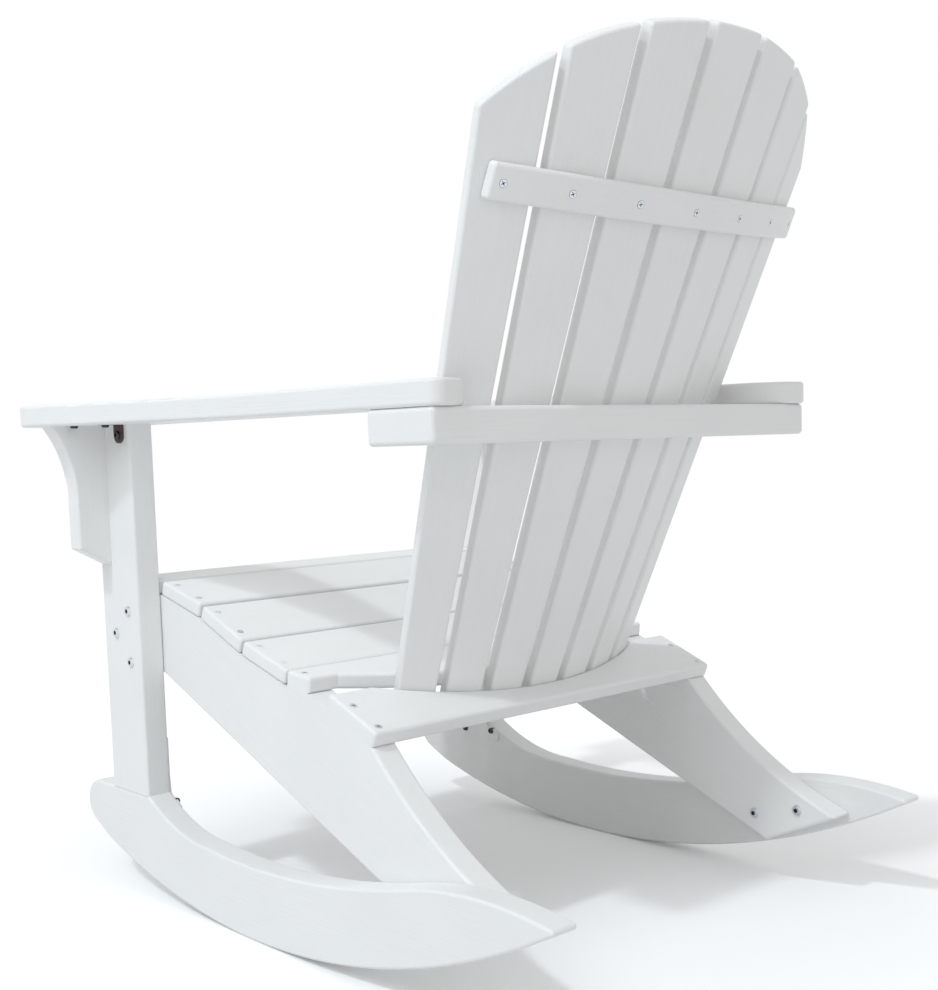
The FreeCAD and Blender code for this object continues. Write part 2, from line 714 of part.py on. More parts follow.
fasteners = {
    "seat_slat_screws": make_seat_screws(),
    "rear_brace_screws": make_rear_brace_screws(),
    "upper_brace_screws": make_upper_brace_screws(),
    "back_slat_screws": make_back_screws(planes),
    "apron_screws": make_apron_screws(),
    "leg_bolts": side_bolts(LEG_BOLTS, LEG_OUTER, vec(-1, 0, 0), LEG_BOLT_LENGTH),
    "rail_bolts": side_bolts(RAIL_BOLTS, RAIL_INNER, vec(1, 0, 0), LEG_BOLT_LENGTH),
    "cleat_bolts": side_bolts(CLEAT_BOLTS, SEAT_HALF - CLEAT_THICK, vec(1, 0, 0), 22.0, 4.5, BOLT_RADIUS),
    "angle_bracket_screws": make_angle_screws(),
    "arm_screws": make_arm_screws(),
    "arm_bracket_screws": make_bracket_screws(),
    "threaded_inserts": side_inserts(LEG_BOLTS, SEAT_HALF, vec(-1, 0, 0))
    + side_inserts(RAIL_BOLTS, SEAT_HALF, vec(1, 0, 0))
    + side_inserts(CLEAT_BOLTS, SEAT_HALF, vec(1, 0, 0)),
}

all_pairs = [pair for pairs in fasteners.values() for pair in pairs]
nodes = {name: drilled(board, all_pairs) for name, board in boards.items()}
nodes.update({name: Part.makeCompound([metal for metal, hole in pairs]) for name, pairs in fasteners.items()})

os.makedirs("parts", exist_ok=True)
to_middle = vec(0, -(NOSE_Y + TAIL_Y) / 2, 0)
for name, shape in nodes.items():
    shape.translate(to_middle)
    shape.exportStep(f"parts/{name}.step")

whole = Part.makeCompound(list(nodes.values())).optimalBoundingBox()
print(f"{len(nodes)} nodes, {whole.XLength:.1f} x {whole.YLength:.1f} x {whole.ZLength:.1f} mm")
print(f"Y from {whole.YMin:.1f} to {whole.YMax:.1f}, Z from {whole.ZMin:.2f}")
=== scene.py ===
# %% [markdown]
# # A rocking adirondack chair of white plastic boards
# The real chair is sawn from white plastic lumber, rounded along its edges, and held with steel screws.
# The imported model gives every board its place. This lesson dresses that model so that it looks real.

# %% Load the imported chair
import math

import bmesh
import bpy
from mathutils import Matrix, Vector


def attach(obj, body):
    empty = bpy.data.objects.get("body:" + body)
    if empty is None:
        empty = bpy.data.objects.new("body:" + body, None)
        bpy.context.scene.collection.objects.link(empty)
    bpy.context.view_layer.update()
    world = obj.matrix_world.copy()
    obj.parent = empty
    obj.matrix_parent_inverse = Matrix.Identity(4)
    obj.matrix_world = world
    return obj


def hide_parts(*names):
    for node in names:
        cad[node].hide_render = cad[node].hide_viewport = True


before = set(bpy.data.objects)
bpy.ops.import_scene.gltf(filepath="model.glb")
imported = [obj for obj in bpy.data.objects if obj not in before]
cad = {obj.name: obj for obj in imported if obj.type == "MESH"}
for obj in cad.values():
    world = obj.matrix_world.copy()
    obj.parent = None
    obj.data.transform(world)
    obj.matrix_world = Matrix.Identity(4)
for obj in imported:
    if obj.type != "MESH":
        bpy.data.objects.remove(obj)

for material in list(bpy.data.materials):
    material.name = "packed_" + material.name
bpy.context.view_layer.update()

# %% [markdown]
# ## The camera
# It stands behind the chair at the sitter's left, a little above the seat, with a medium lens.
# Its three axes are worked out from the direction that it looks in, and then turned by its small roll.
# A shift of the lens frames the chair as the photograph does, without tilting the camera.

# %% Set up the camera
IMAGE_WIDE = 938
IMAGE_TALL = 990
CAMERA_PLACE = Vector((1.1364, 1.2380, 0.5530))
CAMERA_AZIMUTH = math.radians(137.994)
CAMERA_HEIGHT_ANGLE = math.radians(5.648)
CAMERA_ROLL = math.radians(-1.767)
FOCAL_PIXELS = 1372.8
MIDDLE_PIXEL = (457.7, 579.4)

level = math.cos(CAMERA_HEIGHT_ANGLE)
back = Vector((
    math.sin(CAMERA_AZIMUTH) * level,
    -math.cos(CAMERA_AZIMUTH) * level,
    math.sin(CAMERA_HEIGHT_ANGLE),
))
right = (-back).cross(Vector((0, 0, 1))).normalized()
up = right.cross(-back)
rolled_right = right * math.cos(CAMERA_ROLL) + up * math.sin(CAMERA_ROLL)
rolled_up = up * math.cos(CAMERA_ROLL) - right * math.sin(CAMERA_ROLL)

camera = bpy.data.objects.new("camera", bpy.data.cameras.new("camera"))
bpy.context.scene.collection.objects.link(camera)
camera.matrix_world = (
    Matrix.Translation(CAMERA_PLACE)
    @ Matrix((rolled_right, rolled_up, back)).transposed().to_4x4()
)
camera.data.sensor_width = 36
camera.data.lens = FOCAL_PIXELS / IMAGE_TALL * camera.data.sensor_width
camera.data.shift_x = (IMAGE_WIDE / 2 - MIDDLE_PIXEL[0]) / IMAGE_TALL
camera.data.shift_y = (MIDDLE_PIXEL[1] - IMAGE_TALL / 2) / IMAGE_TALL
bpy.context.scene.camera = camera
print("lens in millimetres:", round(camera.data.lens, 1))

# %% [markdown]
# ## Light and floor
# The chair was photographed in a white studio: light comes from all round, and a lamp high on the sitter's
# left draws the arm's soft shadow over the seat. A lamp nearer on that side lifts the outer faces, the upper
# ones most, and a wide one overhead lifts what faces up. These are a little blue. A white one behind the
# chair softly lifts the back.
# The floor looks white to the camera, but it still darkens where the chair keeps the light off it, and its glow
# is weaker near the chair, which paints shade round the chair.

# %% Light the studio
bpy.context.scene.view_settings.view_transform = "Standard"


def shows_white(nodes, links):
    """1 for camera, mirror and glass rays, which see the studio as plain white."""
    path = nodes.new("ShaderNodeLightPath")
    total = path.outputs["Is Camera Ray"]
    for kind in ("Is Glossy Ray", "Is Transmission Ray"):
        both = nodes.new("ShaderNodeMath")
        both.operation = "ADD"
        both.use_clamp = True
        links.new(total, both.inputs[0])
        links.new(path.outputs[kind], both.inputs[1])
        total = both.outputs[0]
    return total


def studio_world(strength, tint):
    """Even light for the chair, and a white background for the camera and for reflections."""
    world = bpy.data.worlds.new("studio")
    world.use_nodes = True
    nodes, links = world.node_tree.nodes, world.node_tree.links
    nodes.clear()
    soft = nodes.new("ShaderNodeBackground")
    soft.inputs["Color"].default_value = (*tint, 1)
    soft.inputs["Strength"].default_value = strength
    white = nodes.new("ShaderNodeBackground")
    white.inputs["Color"].default_value = (1, 1, 1, 1)
    choice = nodes.new("ShaderNodeMixShader")
    output = nodes.new("ShaderNodeOutputWorld")
    links.new(shows_white(nodes, links), choice.inputs["Fac"])
    links.new(soft.outputs[0], choice.inputs[1])
    links.new(white.outputs[0], choice.inputs[2])
    links.new(choice.outputs[0], output.inputs["Surface"])
    bpy.context.scene.world = world


studio_world(0.56, (0.99, 0.995, 1.0))

SUN_FROM = Vector((0.69, 0.05, 1.0))
LAMP_TINT = (0.87, 0.955, 1.0)

sun = bpy.data.objects.new("sun", bpy.data.lights.new("sun", "SUN"))
sun.data.energy = 0.72
sun.data.angle = math.radians(4)
sun.data.color = LAMP_TINT
sun.rotation_euler = SUN_FROM.to_track_quat("Z", "Y").to_euler()
bpy.context.scene.collection.objects.link(sun)


def soft_lamp(name, place, towards, wide, tall, energy, tint=LAMP_TINT):
    """Rectangular lamp that looks at a point."""
    lamp = bpy.data.objects.new(name, bpy.data.lights.new(name, "AREA"))
    lamp.data.shape = "RECTANGLE"
    lamp.data.size = wide
    lamp.data.size_y = tall
    lamp.data.energy = energy
    lamp.data.color = tint
    lamp.location = place
    lamp.rotation_euler = (Vector(place) - Vector(towards)).to_track_quat("Z", "Y").to_euler()
    bpy.context.scene.collection.objects.link(lamp)


soft_lamp("side_lamp", (1.6, 0.0, 1.7), (0, 0, 0.5), 1.4, 1.0, 9.0)
soft_lamp("top_lamp", (0.5, 0.0, 3.0), (0, 0, 0), 3.0, 3.0, 5.5)
soft_lamp("rear_lamp", (0.5, 3.2, 1.3), (0, 0, 0.5), 2.4, 2.0, 6.0, (1.0, 1.0, 1.0))

# %% Lay the floor
FLOOR_HALF = 30.0
FLOOR_TINT = (0.80, 0.80, 0.80, 1)
# Near the chair the floor's glow is weaker: a painted shade round the chair.
GLOW_NEAR = 0.09
GLOW_FAR = 0.30
GLOW_FROM = 0.40
GLOW_TO = 1.10

floor_mesh = bpy.data.meshes.new("floor")
floor_corners = [(x * FLOOR_HALF, y * FLOOR_HALF, 0) for x, y in ((-1, -1), (1, -1), (1, 1), (-1, 1))]
floor_mesh.from_pydata(floor_corners, [], [(0, 1, 2, 3)])
floor = bpy.data.objects.new("floor", floor_mesh)
bpy.context.scene.collection.objects.link(floor)


def floor_finish():
    """Matt white floor. The camera sees it lifted, and away from the chair it is lifted to full white; the
    smaller lift near the chair is a painted shade.
    """
    material = bpy.data.materials.new("studio_floor")
    material.use_nodes = True
    nodes, links = material.node_tree.nodes, material.node_tree.links
    nodes.clear()
    matt = nodes.new("ShaderNodeBsdfDiffuse")
    matt.inputs["Color"].default_value = FLOOR_TINT
    white = nodes.new("ShaderNodeBsdfDiffuse")
    white.inputs["Color"].default_value = (1, 1, 1, 1)
    glow = nodes.new("ShaderNodeEmission")
    here = nodes.new("ShaderNodeTexCoord")
    away = nodes.new("ShaderNodeVectorMath")
    away.operation = "LENGTH"
    rise = nodes.new("ShaderNodeMapRange")
    rise.interpolation_type = "SMOOTHSTEP"
    rise.inputs["From Min"].default_value = GLOW_FROM
    rise.inputs["From Max"].default_value = GLOW_TO
    rise.inputs["To Min"].default_value = GLOW_NEAR
    rise.inputs["To Max"].default_value = GLOW_FAR
    links.new(here.outputs["Object"], away.inputs[0])
    links.new(away.outputs["Value"], rise.inputs["Value"])
    links.new(rise.outputs["Result"], glow.inputs["Strength"])
    lifted = nodes.new("ShaderNodeAddShader")
    choice = nodes.new("ShaderNodeMixShader")
    output = nodes.new("ShaderNodeOutputMaterial")
    links.new(white.outputs[0], lifted.inputs[0])
    links.new(glow.outputs[0], lifted.inputs[1])
    links.new(shows_white(nodes, links), choice.inputs["Fac"])
    links.new(matt.outputs[0], choice.inputs[1])
    links.new(lifted.outputs[0], choice.inputs[2])
    links.new(choice.outputs[0], output.inputs["Surface"])
    return material


floor_mesh.materials.append(floor_finish())

# %% [markdown]
# ## Small helpers for node trees
# Formulas in a node tree are rows of Math nodes, which are slow to read when they are wired by hand.
# A Figure stands for one number in a tree, and ordinary sums written with it add the nodes.
# The same formulas then work on plain numbers too, and that gives the boards of the fan their grain frames.

# %% Make sums into nodes


class Figure:
    """A number in a node tree. Sums that are written with it add Math nodes."""

    def __init__(self, tree, socket):
        self.tree = tree
        self.socket = socket

    def calc(self, operation, *others):
        node = self.tree.nodes.new("ShaderNodeMath")
        node.operation = operation
        for entry, value in zip(node.inputs, (self, *others)):
            feed(self.tree, entry, value)
        return Figure(self.tree, node.outputs[0])

    def __add__(self, other):
        return self.calc("ADD", other)

    def __sub__(self, other):
        return self.calc("SUBTRACT", other)

    def __mul__(self, other):
        return self.calc("MULTIPLY", other)

    def __truediv__(self, other):
        return self.calc("DIVIDE", other)

    def __rsub__(self, other):
        return self.calc("MULTIPLY", -1).calc("ADD", other)

    def __rtruediv__(self, other):
        return self.calc("POWER", -1).calc("MULTIPLY", other)

    __radd__ = __add__
    __rmul__ = __mul__


def feed(tree, entry, value):
    """Link a Figure or a socket to a node's input, or write a plain value into it."""
    if isinstance(value, Figure):
        value = value.socket
    if isinstance(value, bpy.types.NodeSocket):
        tree.links.new(value, entry)
    else:
        entry.default_value = value


def add_node(tree, kind, settings=None, **inputs):
    """Add a node. Its inputs are named in plain words, with _ for a space."""
    node = tree.nodes.new(kind)
    for name, value in (settings or {}).items():
        setattr(node, name, value)
    for name, value in inputs.items():
        feed(tree, node.inputs[name.replace("_", " ")], value)
    return node


def sine(angle):
    return angle.calc("SINE") if isinstance(angle, Figure) else math.sin(angle)


def cosine(angle):
    return angle.calc("COSINE") if isinstance(angle, Figure) else math.cos(angle)


def root(value):
    return value.calc("SQRT") if isinstance(value, Figure) else math.sqrt(value)


def size_of(value):
    return value.calc("ABSOLUTE") if isinstance(value, Figure) else abs(value)


def is_less(value, limit):
    """1 where the value is under the limit, and 0 elsewhere."""
    return value.calc("LESS_THAN", limit) if isinstance(value, Figure) else float(value < limit)


def plus(a, b):
    return [p + q for p, q in zip(a, b)]


def minus(a, b):
    return [p - q for p, q in zip(a, b)]


def times(a, factor):
    return [p * factor for p in a]


def dot(a, b):
    return a[0] * b[0] + a[1] * b[1] + a[2] * b[2]


def cross(a, b):
    return [a[1] * b[2] - a[2] * b[1], a[2] * b[0] - a[0] * b[2], a[0] * b[1] - a[1] * b[0]]


def unit(a):
    return times(a, 1 / root(dot(a, a)))


# %% Start and finish a Geometry Nodes tree


def new_tree(name, sizes, has_points=False):
    """Geometry Nodes tree with a named input for each size. It returns the tree and the inputs."""
    tree = bpy.data.node_groups.new(name, "GeometryNodeTree")
    if has_points:
        tree.interface.new_socket("Points", in_out="INPUT", socket_type="NodeSocketGeometry")
    for size_name, value in sizes.items():
        kind = "NodeSocketInt" if isinstance(value, int) else "NodeSocketFloat"
        if isinstance(value, bpy.types.Material):
            kind = "NodeSocketMaterial"
        tree.interface.new_socket(size_name, in_out="INPUT", socket_type=kind)
    tree.interface.new_socket("Geometry", in_out="OUTPUT", socket_type="NodeSocketGeometry")
    entry = tree.nodes.new("NodeGroupInput")
    given = {}
    for socket in entry.outputs:
        if socket.type in ("VALUE", "INT"):
            given[socket.name] = Figure(tree, socket)
        elif socket.name:
            given[socket.name] = socket
    return tree, given


def end_tree(tree, geometry):
    exit_node = tree.nodes.new("NodeGroupOutput")
    tree.links.new(geometry, exit_node.inputs[0])


def grow(name, tree, sizes, points=None, finish_with=None):
    """Run a tree on a new object, and turn what it makes into a plain mesh of its own."""
    host = bpy.data.objects.new(name, points or bpy.data.meshes.new(name + "_start"))
    bpy.context.scene.collection.objects.link(host)
    modifier = host.modifiers.new("grow", "NODES")
    modifier.node_group = tree
    for item in tree.interface.items_tree:
        if item.in_out == "INPUT" and item.name in sizes:
            modifier[item.identifier] = sizes[item.name]
    if finish_with:
        finish_with(host)
    bpy.context.view_layer.update()
    graph = bpy.context.evaluated_depsgraph_get()
    mesh = bpy.data.meshes.new_from_object(
        host.evaluated_get(graph), preserve_all_data_layers=True, depsgraph=graph
    )
    host.modifiers.clear()
    host.data = mesh
    mesh.name = name
    print(name, "faces:", len(mesh.polygons))
    return host


def round_edges(piece, width):
    """Round the sharp edges of a board with a Bevel, and keep its flat faces flat."""
    bevel = piece.modifiers.new("round_edges", "BEVEL")
    bevel.width = width
    bevel.segments = 3
    bevel.limit_method = "ANGLE"
    bevel.angle_limit = math.radians(35)
    bevel.harden_normals = True


def stand_for(piece, *nodes, slot="white_board"):
    """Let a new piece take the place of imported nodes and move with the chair."""
    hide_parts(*nodes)
    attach(piece, "root")

# %% [markdown]
# ## White board plastic
# Plastic lumber is pressed with a faint wood grain that runs along each board, over a slightly uneven skin.
# One shader group makes that pattern from a place on the board, given in metres: along, across and through.
# New pieces carry that place as an attribute. Packed boards read their object coordinates, turned to the grain.

# %% Build the grain group


def shader_group(name, inputs, outputs):
    """Shader node group with named sockets. It returns the tree, its entry and its exit."""
    tree = bpy.data.node_groups.new(name, "ShaderNodeTree")
    for in_out, sockets in (("INPUT", inputs), ("OUTPUT", outputs)):
        for socket_name, kind in sockets.items():
            tree.interface.new_socket(socket_name, in_out=in_out, socket_type="NodeSocket" + kind)
    return tree, tree.nodes.new("NodeGroupInput"), tree.nodes.new("NodeGroupOutput")


def spread(tree, value, low, high):
    """Stretch a noise value, which stays near its middle, over the range 0 to 1."""
    node = add_node(tree, "ShaderNodeMapRange", From_Min=low, From_Max=high)
    feed(tree, node.inputs["Value"], value)
    return node.outputs["Result"]


def build_grain():
    tree, entry, exit_node = shader_group(
        "board_grain",
        {"Place": "Vector", "Streak Length": "Float", "Streak Width": "Float", "Patch Size": "Float"},
        {"Streaks": "Float", "Speckle": "Float", "Patches": "Float", "Height": "Float"},
    )
    along = 1 / Figure(tree, entry.outputs["Streak Length"])
    across = 1 / Figure(tree, entry.outputs["Streak Width"])
    stretch = add_node(tree, "ShaderNodeCombineXYZ", X=along, Y=across, Z=across)
    stretched = add_node(tree, "ShaderNodeVectorMath", {"operation": "MULTIPLY"})
    tree.links.new(entry.outputs["Place"], stretched.inputs[0])
    tree.links.new(stretch.outputs[0], stretched.inputs[1])
    streaks = add_node(
        tree, "ShaderNodeTexNoise", Scale=1.0, Detail=3.0, Distortion=0.4, Vector=stretched.outputs[0]
    )
    speckle = add_node(tree, "ShaderNodeTexNoise", Scale=900.0, Detail=2.0, Vector=entry.outputs["Place"])
    size = 1 / Figure(tree, entry.outputs["Patch Size"])
    patches = add_node(tree, "ShaderNodeTexNoise", Scale=size, Detail=2.0, Vector=entry.outputs["Place"])
    streak_level = spread(tree, streaks.outputs["Fac"], 0.35, 0.65)
    speckle_level = spread(tree, speckle.outputs["Fac"], 0.3, 0.7)
    patch_level = spread(tree, patches.outputs["Fac"], 0.35, 0.65)
    height = Figure(tree, streak_level) * 0.75 + Figure(tree, speckle_level) * 0.25
    for name, value in (("Streaks", streak_level), ("Speckle", speckle_level), ("Patches", patch_level)):
        tree.links.new(value, exit_node.inputs[name])
    tree.links.new(height.socket, exit_node.inputs["Height"])
    return tree


GRAIN = build_grain()

# %% Mix the white board finish


def board_place(tree, grain_along):
    """Socket with the place on the board: the piece's own attribute, or turned object coordinates."""
    if grain_along is None:
        return add_node(tree, "ShaderNodeAttribute", {"attribute_name": "board_place"}).outputs["Vector"]
    here = add_node(tree, "ShaderNodeTexCoord")
    turn = Vector(grain_along).rotation_difference(Vector((1, 0, 0)))
    mapping = add_node(tree, "ShaderNodeMapping", Rotation=turn.to_euler(), Vector=here.outputs["Object"])
    return mapping.outputs["Vector"]


def mixed_colour(tree, amount, low, high):
    node = add_node(tree, "ShaderNodeMix", {"data_type": "RGBA"})
    feed(tree, node.inputs["Factor"], amount)
    node.inputs[6].default_value = (*low, 1)
    node.inputs[7].default_value = (*high, 1)
    return node.outputs[2]


STREAK_LENGTH = 0.09
STREAK_WIDTH = 0.0016
PATCH_SIZE = 0.11
GRAIN_DEPTH = 0.00022


def white_board(name, grain_along=None):
    """White plastic lumber: pressed grain, an uneven skin, and a soft sheen."""
    material = bpy.data.materials.new(name)
    material.use_nodes = True
    tree = material.node_tree
    surface = tree.nodes["Principled BSDF"]
    grain = add_node(
        tree, "ShaderNodeGroup", {"node_tree": GRAIN},
        Place=board_place(tree, grain_along), Streak_Length=STREAK_LENGTH,
        Streak_Width=STREAK_WIDTH, Patch_Size=PATCH_SIZE,
    )
    streaks = Figure(tree, grain.outputs["Streaks"])
    patches = Figure(tree, grain.outputs["Patches"])
    tone = streaks * 0.45 + patches * 0.55
    skin = mixed_colour(tree, tone, (0.852, 0.852, 0.845), (0.888, 0.888, 0.882))
    tree.links.new(skin, surface.inputs["Base Color"])
    sheen = patches * 0.07 + Figure(tree, grain.outputs["Speckle"]) * 0.06 + 0.38
    tree.links.new(sheen.socket, surface.inputs["Roughness"])
    surface.inputs["IOR"].default_value = 1.5
    bump = add_node(tree, "ShaderNodeBump", Strength=0.55, Distance=GRAIN_DEPTH, Height=grain.outputs["Height"])
    tree.links.new(bump.outputs[0], surface.inputs["Normal"])
    return material


WHITE = white_board("white_board")
WHITE_ACROSS = white_board("white_board_across", (1, 0, 0))
WHITE_REARWARD = white_board("white_board_rearward", (0, 1, 0))
WHITE_UPRIGHT = white_board("white_board_upright", (0, 0, 1))
WHITE_SLOPING = white_board("white_board_sloping", (0, 0.9, -0.42))

# %% [markdown]
# ## Metal finishes
# The visible bolts and screws are brushed stainless steel; their drive recesses are coloured dark, a painted
# shade for the shade inside them.
# The angle under the arm is coloured dark brown, a painted shade for the shade on its face, and the bolts of the
# foot plates are nearly black.

# %% Mix the metal finishes


def metal(name, colour, roughness, brushing=0.08, metallic=1.0, paler=1.15):
    """Metal, or a duller finish that is less metallic, with fine brushing: colour and roughness change a little
    over it.
    """
    material = bpy.data.materials.new(name)
    material.use_nodes = True
    tree = material.node_tree
    surface = tree.nodes["Principled BSDF"]
    here = add_node(tree, "ShaderNodeTexCoord").outputs["Object"]
    marks = add_node(tree, "ShaderNodeTexNoise", Scale=700.0, Detail=3.0, Vector=here)
    level = spread(tree, marks.outputs["Fac"], 0.3, 0.7)
    high = tuple(min(1.0, part * paler) for part in colour)
    tree.links.new(mixed_colour(tree, level, colour, high), surface.inputs["Base Color"])
    rough = Figure(tree, level) * brushing + roughness
    tree.links.new(rough.socket, surface.inputs["Roughness"])
    surface.inputs["Metallic"].default_value = metallic
    bump = add_node(tree, "ShaderNodeBump", Strength=0.3, Distance=0.00005, Height=level)
    tree.links.new(bump.outputs[0], surface.inputs["Normal"])
    return material


STEEL = metal("steel", (0.58, 0.60, 0.64), 0.26)
# The recess colour is painted shade: the recess is the same steel as the head, coloured dark for the shade that
# lies in it.
RECESS_PAINTED_SHADE = metal("drive_recess_painted_shade", (0.05, 0.055, 0.085), 0.45, metallic=0.6)
# The dark brown colour of the angle is painted shade for the shade that falls on its face.
ANGLE_PAINTED_SHADE = metal("dark_angle", (0.075, 0.048, 0.045), 0.48, metallic=0.2)
DARK_BOLT = metal("dark_bolt", (0.06, 0.06, 0.065), 0.40, metallic=0.8)
BRASS = metal("insert_brass", (0.62, 0.47, 0.22), 0.32)

FINISHES = {
    "rocker": WHITE_REARWARD,
    "front_leg": WHITE_UPRIGHT,
    "leg_cleat": WHITE_UPRIGHT,
    "seat_rail": WHITE_SLOPING,
    "arm_bracket": WHITE_UPRIGHT,
    "angle_bracket": ANGLE_PAINTED_SHADE,
    "arm_rail": WHITE_ACROSS,
    "arm": WHITE_REARWARD,
    "front_apron": WHITE_ACROSS,
    "seat_slat": WHITE_ACROSS,
    "rear_seat_brace": WHITE_ACROSS,
    "upper_back_brace": WHITE_ACROSS,
    "back_slat_screws": STEEL,
    "seat_slat_screws": STEEL,
    "apron_screws": STEEL,
    "rear_brace_screws": STEEL,
    "upper_brace_screws": STEEL,
    "arm_screws": STEEL,
    "arm_bracket_screws": STEEL,
    "angle_bracket_screws": DARK_BOLT,
    "leg_bolts": STEEL,
    "rail_bolts": STEEL,
    "cleat_bolts": DARK_BOLT,
    "threaded_inserts": BRASS,
    "back_slat": WHITE_UPRIGHT,
}
for name, node in cad.items():
    start = max((start for start in FINISHES if name.startswith(start)), key=len)
    for slot in node.material_slots:
        slot.material = FINISHES[start]

# %% [markdown]
# ## The fan of the back
# Seven tapered boards stand side by side on a leaning cone, so they spread as they rise. Each is flat.
# Their tops were sawn off together along one arch. As the whole fan follows a rule, Geometry Nodes build it:
# one box of points for each board, moved to its place by the rule, with every size a named input.

# %% Write the rule of the fan
LEG_FRONT_Y = -356.5
FAN = {
    "Boards": 7,
    "Low height": 270.0,
    "High height": 1000.0,
    "Low rear": 478.1,
    "High rear": 793.0,
    "Low radius": 422.4,
    "High radius": 524.9,
    "Low pitch": 57.6,
    "High pitch": 82.5,
    "Low width": 44.6,
    "High width": 72.5,
    "Foot drop": 16.5,
    "Arch top": 945.5,
    "Crown radius": 590.0,
    "Crown half width": 124.7,
    "Shoulder radius": 250.0,
    "Thickness": 18.2,
}
CROWN_COSINE = math.cos(math.radians(12.2))
CROWN_SINE = math.sin(math.radians(12.2))
BRACE_FRONT_Y = 393.0
BRACE_FRONT_Z = 307.0
BRACE_FALL = 0.41402
LENGTH_GUESS = 650.0


def over_height(fan, size, z):
    """A size of the fan that changes evenly with height, such as its width."""
    low, high = fan["Low " + size], fan["High " + size]
    return low + (high - low) * (z - fan["Low height"]) / (fan["High height"] - fan["Low height"])


def on_fan(fan, step, z):
    """Point on the rear of the back. step counts boards sideways from the middle one."""
    radius = over_height(fan, "radius", z)
    angle = step * over_height(fan, "pitch", z) / radius
    y = over_height(fan, "rear", z) - radius + radius * cosine(angle)
    return [radius * sine(angle), y, z]


def rear_of_fan(fan, x, z):
    radius = over_height(fan, "radius", z)
    return over_height(fan, "rear", z) - radius + root(radius * radius - x * x)


def brace_top(y):
    """Height of the sloping seat brace that the boards stand against."""
    return BRACE_FRONT_Z - BRACE_FALL * (y - BRACE_FRONT_Y)


def arch_height(fan, x):
    """The sawn top: a flat crown that runs into a rounder shoulder on each side."""
    away = size_of(x)
    crown_base = fan["Arch top"] - fan["Crown radius"]
    crown = crown_base + root(size_of(fan["Crown radius"] * fan["Crown radius"] - x * x))
    reach = fan["Crown radius"] - fan["Shoulder radius"]
    beyond = away - reach * CROWN_SINE
    drop = fan["Shoulder radius"] * fan["Shoulder radius"] - beyond * beyond
    shoulder = crown_base + reach * CROWN_COSINE + root(size_of(drop))
    in_crown = is_less(away, fan["Crown half width"])
    return crown * in_crown + shoulder * (1 - in_crown)


def board_frame(fan, step):
    """Foot point and the upward, sideways and outward directions of one board's rear face."""
    x = on_fan(fan, step, fan["Low height"])[0]
    z = fan["Low height"]
    for _ in range(5):
        z = brace_top(rear_of_fan(fan, x, z)) - fan["Foot drop"]
    foot = on_fan(fan, step, z)
    upward = unit(minus(on_fan(fan, step, fan["High height"]), foot))
    middle = (fan["Low height"] + fan["Arch top"]) / 2
    chord = minus(on_fan(fan, step + 0.4, middle), on_fan(fan, step - 0.4, middle))
    sideways = unit(minus(chord, times(upward, dot(chord, upward))))
    outward = times(cross(sideways, upward), -1)
    return foot, upward, sideways, outward


def half_width(fan, frame_of_board, rise):
    foot, upward, _, _ = frame_of_board
    return over_height(fan, "width", foot[2] + upward[2] * rise) / 2


def sawn_length(fan, frame_of_board, share):
    """Length of a board up to the arch, at a share of its half width sideways."""
    foot, upward, sideways, _ = frame_of_board
    rise = LENGTH_GUESS
    for _ in range(6):
        aside = share * half_width(fan, frame_of_board, rise)
        x = foot[0] + sideways[0] * aside + upward[0] * rise
        z = foot[2] + sideways[2] * aside + upward[2] * rise
        rise = rise + (arch_height(fan, x) - z) / upward[2]
    return rise


middle_board = FAN["Boards"] // 2
frames = [board_frame(FAN, number - middle_board) for number in range(FAN["Boards"])]
print("middle board stands", round(sawn_length(FAN, frames[middle_board], 0)), "mm tall")

# %% Build the fan tree


